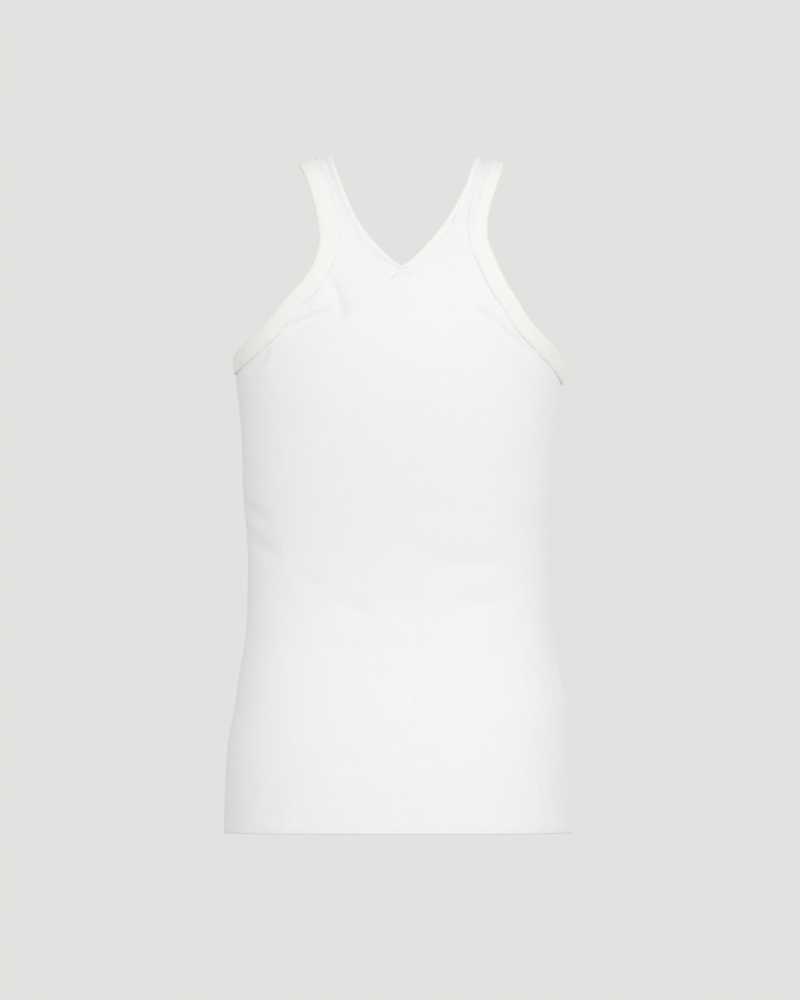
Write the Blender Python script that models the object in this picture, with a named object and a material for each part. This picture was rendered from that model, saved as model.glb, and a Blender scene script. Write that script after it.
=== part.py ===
"""Ribbed tank top with a racer back, filled out as worn: two knitted panels and three folded bindings.

The origin lies midway between the shoulders, level with the underside of the straps, where the
wearer carries the garment. The back faces -Y and the wearer's right is +X.
Sizes below are in millimetres, and mesh_object turns them into metres.

Every point of the cloth has two coordinates. "across" is the cloth's length from the centre line,
left negative. "reach" is how far it lies from the shoulder seam, negative on the back. outer_point
turns them into a place on the garment's outer surface.
"""

from functools import lru_cache
import math

import bmesh
import bpy
import numpy as np

BACK = -1
FRONT = 1
LEFT = -1
RIGHT = 1
METRES = 0.001
RIB_ANGLE = math.radians(18)  # edges sharper than this are drawn sharp

# Cloth
RIBS = 84  # across one panel
KNIT = 1.0  # wall between two ribs
RIB_RISE = 0.6
CLOTH = KNIT + RIB_RISE
HEM_TURN = 16.0  # the cloth turned up inside the hem
HEM_STEP = 0.6  # height of the step above it
SEAM_GAP = 0.3
BINDING_KNIT = 1.1
CLEARANCE = 0.55  # between a binding and the panel edge inside it
ARMHOLE_BINDING_WIDTH = 18.0
NECK_BINDING_WIDTH = 7.5
WIDE_BINDING = 10.0
EDGE_INSET = 2.6  # from a binding's fold to the cut edge inside it
SLOT_END = 1.5  # from a binding's fold to the end of the space inside it
FOLD_ANGLES = [math.radians(angle) for angle in (90, 40, 0, -40, -90)]

# Form
CREST_HEIGHT = CLOTH + CLEARANCE + BINDING_KNIT  # panel surface over the middle of a strap
CREST_ROUND = 18.0  # radius of a strap where it passes over the shoulder
SHOULDER_SLOPE = math.tan(math.radians(14))
SHOULDER_SLOPE_END = 90.0  # reach at which the slope has faded out
STRAP_MIDDLE = 78.0  # from the centre line to the middle of a strap, on the shoulder
STRAP_LEAN = 23.0  # how far the straps spread outward at the shoulder
STRAP_LEAN_DROP = 76.0  # below the shoulder, where the spread starts
STRAP_LEAN_POWER = 1.35
SQUARENESS = 2.3  # exponent of the level sections, 2 for an ellipse
HEM_HEIGHT = -602.0
UNDERARM = {LEFT: -172.0, RIGHT: -181.0}  # height of the armhole's edge at the side seam
STRAIGHT_GRAIN_TOP = -166.0  # above this height the ribs keep their spacing

# Level sections: height, half widths to the left and right, depths to the back and front
SECTIONS = (
    (CREST_HEIGHT, 150, 149, 0, 0),
    (-7, 150, 149, 21, 20),
    (-37, 150, 149, 45, 37),
    (-87, 150, 149, 74, 58),
    (-147, 149.5, 148, 94, 84),
    (-200, 147, 145.5, 98, 104),
    (-240, 143, 143, 95, 112),
    (-290, 141.5, 139, 88, 110),
    (-356, 137, 135, 78, 98),
    (-392, 137.5, 136, 76, 94),
    (-428, 139.5, 139, 80, 94),
    (-455, 144, 143, 86, 97),
    (-486, 148.5, 150, 94, 101),
    (-523, 155, 152.5, 102, 103),
    (-563, 157.5, 153.5, 107, 102),
    (HEM_HEIGHT, 158.5, 154.5, 109, 100),
)

# Finished edges as seen square on: height, distance left and right of the centre line.
# The first row of each lies on the shoulder seam.
BACK_ARMHOLE = (
    (CREST_HEIGHT, 91.8, 93.6),
    (-10, 86.6, 91.2),
    (-35, 78.3, 83.0),
    (-56, 74.2, 79.0),
    (-75, 73.9, 81.6),
    (-88, 77.8, 87.3),
    (-102, 86.0, 93.5),
    (-122, 104.0, 105.5),
    (-139, 116.9, 116.0),
    (-153, 130.5, 128.4),
    (-164, 142.0, 137.5),
)
FRONT_ARMHOLE = (
    (CREST_HEIGHT, 91.8, 93.6),
    (-10, 86.0, 90.4),
    (-35, 77.0, 81.6),
    (-60, 72.5, 76.5),
    (-85, 71.5, 75.0),
    (-110, 76.0, 79.0),
    (-135, 90.0, 91.0),
    (-155, 110.0, 108.0),
    (-168, 133.0, 127.0),
)
BACK_NECK = (
    (CREST_HEIGHT, 61.2, 66.4),
    (-4.3, 57.2, 63.0),
    (-21, 51.0, 57.3),
    (-35, 45.3, 50.2),
    (-51, 37.3, 40.6),
    (-64, 28.4, 30.5),
    (-76, 17.4, 20.0),
    (-84, 9.6, 12.4),
)
FRONT_NECK = (
    (CREST_HEIGHT, 61.2, 66.4),
    (-4.3, 58.8, 63.8),
    (-21, 54.0, 59.0),
    (-35, 50.4, 54.6),
    (-60, 45.6, 48.0),
    (-90, 42.5, 44.0),
    (-120, 38.0, 39.0),
    (-145, 30.0, 30.5),
    (-162, 18.0, 18.0),
)
NECK_BOTTOM = {BACK: (1.8, -92.0), FRONT: (0.0, -169.0)}  # along X, and height

# Largest folds, soft troughs across a panel: panel, start and end as shares of the half girth,
# with the height at each, half width, depth. A share past 1 runs on round the side seam.
FOLDS = (
    (BACK, -0.44, -136, -0.16, -121, 8, 1.8),
    (BACK, 0.10, -356, 0.66, -350, 11, 1.3),
    (BACK, -0.48, -396, -0.12, -402, 10, 1.1),
    (BACK, 0.22, -400, 0.66, -392, 10, 1.2),
    (BACK, -1.30, -300, -0.70, -312, 8, 1.8),
    (BACK, -1.30, -352, -0.70, -338, 8, 1.8),
    (FRONT, -1.30, -312, -0.70, -300, 8, 1.8),
    (FRONT, -1.30, -338, -0.70, -352, 8, 1.8),
    (FRONT, 0.18, -372, 0.66, -360, 11, 1.3),
    (FRONT, 0.36, -214, 0.70, -236, 9, 1.6),
)

FOLD_SHARPNESS = 1.2
FOLD_SIDE = 1.6  # from a fold's middle to the rows of points on its sides, in half widths

# Rows of points on a panel, by reach, between the cut edge and the hem
STRAP_ROWS = (5, 10, 15, 21, 29, 40, 56, 76, 98)
BODY_ROWS = (120, 145, 172, 210, 270, 335, 400, 455, 510, 565)
ROW_SPACING = 3.0  # least distance between a row and a cut edge
FOLD_ROW_SPACING = 0.8  # least distance between a fold's row and another row
INNER_COLUMN_STEP = 6  # a plain column inside for every so many outside
INNER_EDGE_TOLERANCE = 0.5
PATH_SAMPLES = 500
SECTION_SAMPLES = 73  # along a quarter of a level section
SECTION_STEP = 12.5  # between two sections of a binding
CREST_STEP = 5.5  # the same on the shoulder
CREST_REACH = 36.0
PROBE = 0.6  # half of the cloth's length over which a slope is measured
PLACE_STEPS = 8  # to find the cloth under a point seen square on
BODY_MIDDLE = np.array((0.0, 0.0, -300.0))


def smooth_curve(parameters, values):
    """Cubic through the values, as a function of the parameter."""
    parameters = np.asarray(parameters, float)
    values = np.asarray(values, float)
    slopes = np.gradient(values, parameters, axis=0)

    def evaluate(parameter):
        k = int(np.clip(np.searchsorted(parameters, parameter) - 1, 0, len(parameters) - 2))
        span = parameters[k + 1] - parameters[k]
        t = (parameter - parameters[k]) / span
        start = (1 + 2 * t) * (1 - t) ** 2 * values[k] + t * (1 - t) ** 2 * span * slopes[k]
        end = t * t * (3 - 2 * t) * values[k + 1] + t * t * (t - 1) * span * slopes[k + 1]
        return start + end

    return evaluate


def reach_at(height):
    """Distance from the shoulder seam of a height: round over the crest, then nearly straight."""
    drop = max(0.0, CREST_HEIGHT - height)
    return math.sqrt(drop * (drop + 2 * CREST_ROUND))


def height_at(reach):
    return CREST_HEIGHT + CREST_ROUND - math.hypot(reach, CREST_ROUND)


SECTION_REACHES = [reach_at(row[0]) for row in SECTIONS]
HALF_WIDTH = {
    LEFT: smooth_curve(SECTION_REACHES, [row[1] for row in SECTIONS]),
    RIGHT: smooth_curve(SECTION_REACHES, [row[2] for row in SECTIONS]),
}
DEPTH = {
    BACK: smooth_curve(SECTION_REACHES, [row[3] for row in SECTIONS]),
    FRONT: smooth_curve(SECTION_REACHES, [row[4] for row in SECTIONS]),
}
QUARTER_TURN = np.linspace(0, math.pi / 2, SECTION_SAMPLES)


@lru_cache(maxsize=None)
def quarter_section(reach, face, side):
    """A quarter of a level section from the centre line to the side: sideways, outward, length."""
    sideways = HALF_WIDTH[side](reach) * np.sin(QUARTER_TURN) ** (2 / SQUARENESS)
    outward = max(0.0, DEPTH[face](reach)) * np.cos(QUARTER_TURN) ** (2 / SQUARENESS)
    outward[-1] = 0.0
    length = np.concatenate(([0], np.cumsum(np.hypot(np.diff(sideways), np.diff(outward)))))
    return sideways, outward, length


def half_girth(reach, face, side):
    return quarter_section(abs(reach), face, side)[2][-1]


def grain_length(reach, face, side):
    """Cloth from the centre line to the last rib, which stays the same above the underarm."""
    return half_girth(max(abs(reach), reach_at(STRAIGHT_GRAIN_TOP)), face, side)


def fade(value):
    value = min(1.0, max(0.0, value))
    return 1 - value * value * (3 - 2 * value)


def strap_lean(reach):
    share = 1 - (CREST_HEIGHT - height_at(reach)) / STRAP_LEAN_DROP
    return STRAP_LEAN * max(0.0, share) ** STRAP_LEAN_POWER


def fold_depth(face, share, height):
    """How far the folds draw the cloth in."""
    total = 0.0
    for fold_face, share_0, height_0, share_1, height_1, half_width, depth in FOLDS:
        along = (share - share_0) / (share_1 - share_0)
        if face == fold_face and 0 < along < 1:
            middle = height_0 + (height_1 - height_0) * along
            off = (height - middle) / half_width
            total += depth * math.sin(math.pi * along) * math.exp(-FOLD_SHARPNESS * off * off)
    return total


def smooth_point(across, reach):
    """Place of a point of the cloth on the garment's outer surface, before the folds."""
    side = RIGHT if across >= 0 else LEFT
    face = BACK if reach < 0 else FRONT
    level = abs(reach)
    distance = abs(across)
    sideways, outward, length = quarter_section(level, face, side)
    if distance > length[-1]:
        distance -= length[-1]
        face = -face
        sideways, outward, length = quarter_section(level, face, side)
        distance = length[-1] - distance
    x = side * (np.interp(distance, length, sideways) + strap_lean(level))
    y = face * np.interp(distance, length, outward)
    slope = SHOULDER_SLOPE * fade(level / SHOULDER_SLOPE_END)
    z = height_at(level) - slope * (abs(x) - STRAP_MIDDLE)
    return np.array((x, y, z))


def fold_shift(across, reach, place):
    """Move that the folds give to a place on the smooth surface."""
    side = RIGHT if across >= 0 else LEFT
    face = BACK if reach < 0 else FRONT
    depth = fold_depth(face, across / grain_length(reach, face, side), place[2])
    if not depth:
        return np.zeros(3)
    half_width = HALF_WIDTH[side](abs(reach))
    out = np.array((place[0] / half_width**2, place[1] / DEPTH[face](abs(reach)) ** 2, 0))
    return -depth * out / np.linalg.norm(out)


def outer_point(across, reach):
    """Place of a point of the cloth on the garment's outer surface, with the folds."""
    place = smooth_point(across, reach)
    return place + fold_shift(across, reach, place)


def slopes_at(across, reach):
    """Change of place for a millimetre across and for a millimetre of reach."""
    over = smooth_point(across + PROBE, reach) - smooth_point(across - PROBE, reach)
    down = smooth_point(across, reach + PROBE) - smooth_point(across, reach - PROBE)
    return over / (2 * PROBE), down / (2 * PROBE)


def outward_at(across, reach):
    """Unit vector square to the cloth, pointing out of the garment."""
    normal = np.cross(*slopes_at(across, reach))
    normal /= np.linalg.norm(normal)
    if normal @ (smooth_point(across, reach) - BODY_MIDDLE) < 0:
        normal = -normal
    return normal


def walk(across, reach, direction, distance, steps=3):
    """Cloth coordinates after a straight walk over the surface."""
    for _ in range(steps):
        slopes = np.stack(slopes_at(across, reach), axis=1)
        normal = outward_at(across, reach)
        direction = direction - normal * (normal @ direction)
        direction /= np.linalg.norm(direction)
        move = np.linalg.lstsq(slopes, direction * distance / steps, rcond=None)[0]
        across += move[0]
        reach += move[1]
    return across, reach


def cloth_coordinates(x, height, face):
    """Cloth coordinates of the point seen square on at x and height."""
    side = RIGHT if x >= 0 else LEFT
    level = reach_at(height)
    across = x
    for _ in range(PLACE_STEPS):
        sideways, _, length = quarter_section(level, face, side)
        across = side * np.interp(abs(x) - strap_lean(level), sideways, length)
        too_high = smooth_point(across, face * level)[2] - height
        level = reach_at(height_at(level) - too_high)
    return across, face * level


def edge_points(rows, side, face):
    """Cloth coordinates of a finished edge, from the shoulder seam down."""
    column = 1 if side == LEFT else 2
    crest_x = rows[0][column] - STRAP_LEAN
    points = [(side * crest_x, 0.0)]
    for row in rows[1:]:
        points.append(cloth_coordinates(side * row[column], row[0], face))
    return points


def mirrored(point, about):
    return (2 * about - point[0], point[1])


def curve_through(points, lead_in=None, lead_out=None):
    """Smooth curve in cloth coordinates. The leads set its direction at its ends."""
    full = [p for p in [lead_in, *points, lead_out] if p is not None]
    full = np.array(full, float)
    chords = np.linalg.norm(np.diff(full, axis=0), axis=1)
    parameters = np.concatenate(([0], np.cumsum(chords)))
    first = parameters[1] if lead_in else 0.0
    last = parameters[-2] if lead_out else parameters[-1]
    curve = smooth_curve(parameters, full)
    return [curve(t) for t in np.linspace(first, last, PATH_SAMPLES)]


def armhole_path(side):
    """The armhole's finished edge, from the side seam up the back and down the front."""
    back = edge_points(BACK_ARMHOLE, side, BACK)
    front = edge_points(FRONT_ARMHOLE, side, FRONT)
    level = reach_at(UNDERARM[side])
    back_seam = (side * half_girth(level, BACK, side), -level)
    front_seam = (side * half_girth(level, FRONT, side), level)
    points = [back_seam, *reversed(back), *front[1:], front_seam]
    return curve_through(
        points,
        lead_in=mirrored(points[1], back_seam[0]),
        lead_out=mirrored(points[-2], front_seam[0]),
    )


def half_neck_path(side):
    """One half of the neckline, from the point of the V up the back and down the front."""
    back = edge_points(BACK_NECK, side, BACK)
    front = edge_points(FRONT_NECK, side, FRONT)
    v_point = cloth_coordinates(*NECK_BOTTOM[BACK], BACK)
    scoop_bottom = cloth_coordinates(*NECK_BOTTOM[FRONT], FRONT)
    points = [v_point, *reversed(back), *front[1:], scoop_bottom]
    return curve_through(points, lead_out=mirrored(points[-2], scoop_bottom[0]))


def loop_sections(path, corner_at_start):
    """Evenly spaced places round a closed path, closer on the shoulder.

    Each is its cloth coordinates, its place, and the direction into the cloth. At the corner that
    direction is lengthened, so that the binding keeps its width on both sides of the mitre."""
    places = np.array([outer_point(*p) for p in path])
    gaps = np.linalg.norm(np.diff(places, axis=0), axis=1)
    on_crest = np.array([abs(p[1]) < CREST_REACH for p in path[1:]])
    weight = np.concatenate(([0], np.cumsum(gaps / np.where(on_crest, CREST_STEP, SECTION_STEP))))
    count = int(round(weight[-1]))
    picks = np.searchsorted(weight, np.linspace(0, weight[-1], count + 1)[:-1])
    sections = []
    for k, pick in enumerate(picks):
        before = places[picks[k - 1]]
        after = places[picks[(k + 1) % count]]
        arriving = places[pick] - before
        leaving = after - places[pick]
        arriving /= np.linalg.norm(arriving)
        leaving /= np.linalg.norm(leaving)
        tangent = (arriving + leaving) / np.linalg.norm(arriving + leaving)
        inward = np.cross(outward_at(*path[pick]), tangent)
        inward /= np.linalg.norm(inward)
        if k == 0 and corner_at_start:
            inward /= math.sqrt((1 + arriving @ leaving) / 2)
        sections.append((tuple(path[pick]), places[pick], inward))
    return sections


def into_cloth(sections, towards):
    """The sections with their directions pointing to the cloth's side of the edge."""
    place, inward = sections[0][1:]
    sign = 1 if inward @ (towards - place) > 0 else -1
    return [(cloth, at, sign * direction) for cloth, at, direction in sections]


def trim_line(sections_by_edge, face):
    """Upper edge of a panel, inside the bindings: share of the panel's width against reach.

    Every rib runs in one piece from the hem to this line, so the line never doubles back."""
    pieces = []
    for sections, side, is_armhole in sections_by_edge:
        shares = []
        reaches = []
        for (across, reach), _, inward in sections:
            if reach * face < 0 and abs(reach) > CREST_STEP:
                continue
            length = np.linalg.norm(inward)
            across, reach = walk(across, reach, inward, EDGE_INSET * length)
            shares.append(across / grain_length(reach, face, side))
            reaches.append(max(SEAM_GAP / 2, reach * face))
        order = np.argsort(reaches)[::-1]
        shares = np.array(shares)[order]
        reaches = np.array(reaches)[order]
        keep_highest = (side == LEFT) == is_armhole
        envelope = np.maximum if keep_highest else np.minimum
        piece = list(zip(envelope.accumulate(shares), reaches))
        pieces.append(piece if piece[0] < piece[-1] else piece[::-1])
    return np.concatenate(sorted(pieces, key=lambda piece: piece[0]))


def fold_rows(face, share, rows):
    """Extra rows where a fold crosses this column, clear of the rows it has."""
    extra = []
    for fold_face, share_0, height_0, share_1, height_1, half_width, _ in FOLDS:
        along = (share - share_0) / (share_1 - share_0)
        if face == fold_face and 0 < along < 1:
            middle = height_0 + (height_1 - height_0) * along
            side = FOLD_SIDE * half_width
            extra += [reach_at(middle + off) for off in (-side, 0, side)]
    below_edge = [row for row in extra if row > rows[-1] + ROW_SPACING]
    return [row for row in below_edge if min(abs(row - other) for other in rows) > FOLD_ROW_SPACING]


def column_rows(top):
    """Reaches of the rows that every column shares, from the hem up to this column's top."""
    rows = [row for row in STRAP_ROWS + BODY_ROWS if row > top + ROW_SPACING]
    return [top, *rows, reach_at(HEM_HEIGHT)][::-1]


def strip(first, second):
    """Triangles between two chains of (key, vertex), whose keys run the same way."""
    faces = []
    i = 0
    j = 0
    while i < len(first) - 1 or j < len(second) - 1:
        if j == len(second) - 1:
            step_first = True
        elif i == len(first) - 1:
            step_first = False
        else:
            step_first = first[i + 1][0] <= second[j + 1][0]
        if step_first:
            faces.append((first[i][1], first[i + 1][1], second[j][1]))
            i += 1
        else:
            faces.append((first[i][1], second[j + 1][1], second[j][1]))
            j += 1
    return faces


def flipped(faces):
    return [tuple(reversed(face)) for face in faces]


def inner_columns(edge, climbs):
    """Columns that the plain inside needs, so that its upper edge follows the outer one."""
    keep = set(range(0, len(edge), INNER_COLUMN_STEP)) | {len(edge) - 1}
    for column, climb in enumerate(climbs):
        if climb:
            keep |= {column, column + 1}
    edge = np.array(edge)
    ordered = sorted(keep)
    while True:
        for start, end in zip(ordered, ordered[1:]):
            if end - start < 2:
                continue
            chord = edge[end] - edge[start]
            offsets = edge[start + 1 : end] - edge[start]
            off = np.abs(offsets[:, 0] * chord[1] - offsets[:, 1] * chord[0])
            off /= np.linalg.norm(chord)
            if off.max() > INNER_EDGE_TOLERANCE:
                keep.add(start + 1 + int(off.argmax()))
        if len(keep) == len(ordered):
            return ordered
        ordered = sorted(keep)


def mesh_object(name, points, faces, material, collection):
    mesh = bpy.data.meshes.new(name)
    mesh.from_pydata([tuple(METRES * p) for p in np.array(points)], [], faces)
    mesh.validate()
    mesh.materials.append(material)
    mesh.shade_smooth()
    mesh.set_sharp_from_angle(angle=RIB_ANGLE)
    part = bpy.data.objects.new(name, mesh)
    collection.objects.link(part)
    return part


def panel_place(face, share, level):
    """Cloth coordinates of a panel's point, clear of the next panel at the side seam."""
    side = RIGHT if share >= 0 else LEFT
    across = share * grain_length(level, face, side)
    if abs(share) == 1:
        across -= side * SEAM_GAP / 2
    return across, face * level


def column_points(face, share, rows_and_depths):
    """Places down one column, at a depth in the wall for each row, and where folds cross it.

    Between two shared rows a column is straight, so that the folds alone bend it there."""
    straight = []
    for row, depth in rows_and_depths:
        cloth = panel_place(face, share, row)
        straight.append(smooth_point(*cloth) - depth * outward_at(*cloth))
    rows = [row for row, _ in rows_and_depths]
    extra = fold_rows(face, share, rows) if len(rows) > 1 else []
    every_row = sorted([*rows, *extra], reverse=True)
    axes = [np.interp(every_row, rows[::-1], axis) for axis in np.array(straight)[::-1].T]
    chain = []
    for row, place in zip(every_row, np.array(axes).T):
        cloth = panel_place(face, share, row)
        chain.append((-row, place + fold_shift(*cloth, place)))
    return chain


def climb_between(line, share_a, top_a, share_b, top_b):
    """Points of the cut edge where it climbs steeply between two columns, as on a strap's sides."""
    inside = line[(line[:, 0] > share_a) & (line[:, 0] < share_b)]
    piece = np.array([(share_a, top_a), *inside, (share_b, top_b)])
    if top_a > top_b:
        piece = piece[::-1]
    low, high = sorted((top_a, top_b))
    rows = [row for row in STRAP_ROWS + BODY_ROWS if low + ROW_SPACING < row < high - ROW_SPACING]
    climb = [(float(np.interp(row, piece[:, 1], piece[:, 0])), row) for row in rows]
    return climb if top_a < top_b else climb[::-1]


def build_layer(points, face, columns, climbs):
    """One side of a panel's wall: its faces, its upper and lower edges and its two side edges.

    A column is its number, its share of the panel's width and its rows with their depths. Climbs
    are the points of the cut edge between two columns, by the number of the first."""

    def add(chain):
        first = len(points)
        points.extend(place for _, place in chain)
        return [(key, first + k) for k, (key, _) in enumerate(chain)]

    chains = [add(column_points(face, share, rows)) for _, share, rows in columns]
    faces = []
    upper = [(columns[0][0], chains[0][-1][1])]
    for k in range(len(columns) - 1):
        number, _, rows = columns[k]
        depth = rows[-1][1]
        steps = []
        for share, row in climbs[number]:
            steps += add(column_points(face, share, [(row, depth)]))
        first = chains[k]
        second = chains[k + 1]
        if first[-1][0] < second[-1][0]:
            first = first + steps
        else:
            second = second + steps[::-1]
        faces += strip(first, second)
        share_of_gap = 1 / (len(steps) + 1)
        upper += [(number + (i + 1) * share_of_gap, step[1]) for i, step in enumerate(steps)]
        upper.append((columns[k + 1][0], chains[k + 1][-1][1]))
    lower = [(column[0], chain[0][1]) for column, chain in zip(columns, chains)]
    return faces, upper, lower, chains[0], chains[-1]


def build_panel(name, face, line, material, collection):
    """A ribbed wall with a plain inside and its hem turned up."""
    shares = [column / RIBS - 1 for column in range(2 * RIBS + 1)]
    tops = [float(np.interp(share, line[:, 0], line[:, 1])) for share in shares]
    climbs = []
    for k in range(2 * RIBS):
        climbs.append(climb_between(line, shares[k], tops[k], shares[k + 1], tops[k + 1]))
    climbs.append([])
    edge = [(panel_place(face, share, top)[0], top) for share, top in zip(shares, tops)]

    outer = []
    for k, (share, top) in enumerate(zip(shares, tops)):
        depth = 0 if k % 2 else RIB_RISE
        outer.append((k, share, [(row, depth) for row in column_rows(top)]))
    turn = reach_at(HEM_HEIGHT + HEM_TURN)
    inner = []
    for k in inner_columns(edge, climbs):
        hem, *rows = column_rows(tops[k])
        layers = [(hem, CLOTH + KNIT), (turn, CLOTH + KNIT), (turn - HEM_STEP, CLOTH)]
        inner.append((k, shares[k], layers + [(row, CLOTH) for row in rows]))

    points = []
    faces, upper, lower, left, right = build_layer(points, face, outer, climbs)
    inside = build_layer(points, face, inner, climbs)
    faces += flipped(inside[0])
    faces += flipped(strip(upper, inside[1])) + strip(lower, inside[2])
    faces += flipped(strip(left, inside[3])) + strip(right, inside[4])
    if face == BACK:
        faces = flipped(faces)
    return mesh_object(name, points, faces, material, collection)


def binding_profile(width):
    """Section of a folded binding: distance from its fold, and height over the panel's surface.

    The outer half of a wide binding also bends along its middle."""
    outside = CLEARANCE + BINDING_KNIT
    below_panel = -CLOTH - CLEARANCE
    inside = below_panel - BINDING_KNIT
    middle = (outside + inside) / 2
    radius = (outside - inside) / 2
    bends = [width / 2] if width > WIDE_BINDING else []
    upper = [(width, outside), *((at, outside) for at in bends)]
    turn = [(radius * (1 - math.cos(a)), middle + radius * math.sin(a)) for a in FOLD_ANGLES]
    lower = [(width, inside), (width, below_panel)]
    slot = [(SLOT_END, below_panel), (SLOT_END, CLEARANCE)]
    slot_upper = [*((at, CLEARANCE) for at in bends), (width, CLEARANCE)]
    return upper + turn + lower + slot + slot_upper


def build_binding(name, sections, width, material, collection):
    """A strip folded lengthwise over a cut edge, in a closed loop."""
    profile = binding_profile(width)
    points = []
    for cloth, place, inward in sections:
        length = np.linalg.norm(inward)
        bases = {0: (place, outward_at(*cloth))}
        for distance in (width / 2, width):
            spot = walk(*cloth, inward, distance * length)
            bases[distance] = (outer_point(*spot), outward_at(*spot))
        for distance, height in profile:
            if distance in bases:
                base, normal = bases[distance]
            else:
                base, normal = place + distance * inward, bases[0][1]
            points.append(base + height * normal)
    size = len(profile)
    total = len(points)
    faces = []
    for start in range(0, total, size):
        for k in range(size):
            here = start + k
            beside = start + (k + 1) % size
            faces.append((here, beside, (beside + size) % total, (here + size) % total))
    return mesh_object(name, points, faces, material, collection)


def make_outward(part):
    """Turns a closed mesh right side out, and splits its bent quads evenly."""
    shape = bmesh.new()
    shape.from_mesh(part.data)
    bmesh.ops.triangulate(shape, faces=shape.faces)
    bmesh.ops.recalc_face_normals(shape, faces=shape.faces)
    if shape.calc_volume(signed=True) < 0:
        bmesh.ops.reverse_faces(shape, faces=shape.faces)
    shape.to_mesh(part.data)
    shape.free()


def knit_material(name, colour, roughness):
    material = bpy.data.materials.new(name)
    material.use_nodes = True
    shader = material.node_tree.nodes["Principled BSDF"]
    shader.inputs["Base Color"].default_value = (*colour, 1)
    shader.inputs["Roughness"].default_value = roughness
    shader.inputs["Metallic"].default_value = 0
    return material


def clear_scene():
    for part in list(bpy.data.objects):
        bpy.data.objects.remove(part, do_unlink=True)


def main():
    clear_scene()
    garment = bpy.data.collections.new("tank_top")
    bpy.context.scene.collection.children.link(garment)
    rib_knit = knit_material("rib_knit", (0.88, 0.88, 0.87), 0.9)
    binding_knit = knit_material("binding_knit", (0.90, 0.90, 0.86), 0.9)

    armholes = {}
    for side in (LEFT, RIGHT):
        sections = loop_sections(armhole_path(side)[:-1], corner_at_start=False)
        armholes[side] = into_cloth(sections, BODY_MIDDLE)
    left_half = half_neck_path(LEFT)
    right_half = half_neck_path(RIGHT)
    neck_path = left_half[:-1] + right_half[:0:-1]
    neck = into_cloth(loop_sections(neck_path, corner_at_start=True), BODY_MIDDLE)

    for face, name in ((BACK, "back_panel"), (FRONT, "front_panel")):
        edges = []
        for side in (LEFT, RIGHT):
            half = [section for section in neck if section[0][0] * side >= 0]
            edges.append((armholes[side], side, True))
            edges.append((half, side, False))
        panel = build_panel(name, face, trim_line(edges, face), rib_knit, garment)
        make_outward(panel)
    for side, name in ((LEFT, "left_armhole_binding"), (RIGHT, "right_armhole_binding")):
        part = build_binding(name, armholes[side], ARMHOLE_BINDING_WIDTH, binding_knit, garment)
        make_outward(part)
    part = build_binding("neck_binding", neck, NECK_BINDING_WIDTH, binding_knit, garment)
    make_outward(part)


main()
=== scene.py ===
"""Looks of a ribbed tank top with a racer back, filled out as worn.

The panels and the bindings are thin knitted shells on the form of the construction, with their
stitches outside and inside. Sizes are in millimetres, and cloth_object turns them into metres.

Every point of the cloth has two coordinates. "across" is the cloth's length from the centre line,
left negative. "reach" is how far it lies from the shoulder seam, negative on the back. The origin
lies midway between the shoulders, the back faces -Y and the wearer's right is +X.
"""

from functools import lru_cache, partial
import math
from typing import NamedTuple

import bmesh
import bpy
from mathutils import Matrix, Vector
import numpy as np

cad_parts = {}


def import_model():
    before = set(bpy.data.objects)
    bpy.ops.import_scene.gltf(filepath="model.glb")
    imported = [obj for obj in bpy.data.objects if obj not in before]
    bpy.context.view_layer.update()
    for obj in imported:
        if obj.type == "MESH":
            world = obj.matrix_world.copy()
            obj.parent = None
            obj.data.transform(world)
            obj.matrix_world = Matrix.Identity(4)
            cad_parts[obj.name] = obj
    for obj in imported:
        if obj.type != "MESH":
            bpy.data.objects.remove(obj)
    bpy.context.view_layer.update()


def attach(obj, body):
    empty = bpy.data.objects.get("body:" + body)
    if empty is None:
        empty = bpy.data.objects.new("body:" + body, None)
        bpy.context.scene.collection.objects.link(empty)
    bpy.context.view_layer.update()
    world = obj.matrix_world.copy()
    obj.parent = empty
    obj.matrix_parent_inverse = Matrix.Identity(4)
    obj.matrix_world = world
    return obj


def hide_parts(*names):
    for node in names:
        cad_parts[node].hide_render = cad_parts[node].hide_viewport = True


METRES = 0.001
BACK = -1
FRONT = 1
LEFT = -1
NECK = 0
RIGHT = 1
SIDES = (LEFT, RIGHT)
PANELS = {BACK: "back_panel", FRONT: "front_panel"}
BINDINGS = {LEFT: "left_armhole_binding", RIGHT: "right_armhole_binding", NECK: "neck_binding"}
UV_NAME = "UVMap"

# Cloth
RIBS = 59  # from the centre line to a side seam
# Points of a rib's section: share of its pitch, how deep
RIB_SECTION = ((0.0, 1.0), (0.24, 0.25), (0.5, 0.0), (0.76, 0.25))
RIB_DEPTH = 0.13
RIB_PITCH = 3.3
INNER_RIB = 0.7  # share of the ribs' depth that shows on the inside
CLOTH = 1.6
SEAM_GAP = 0.3
SEAM_DIP = 1.1  # how far the side seam draws the cloth in
SEAM_DIP_WIDTH = 3.0
HEM_THICKNESS = 2.6
HEM_TURN = 16.0
HEM_SEWING = 14.4  # above the hem
HEM_GROOVE = 0.1
HEM_GROOVE_WIDTH = 1.3
EDGE_INSET = 2.6  # from a binding's fold to the cut edge inside it

# Bindings, folded over the cut edges
ARMHOLE_BINDING_WIDTH = 18.0
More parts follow.
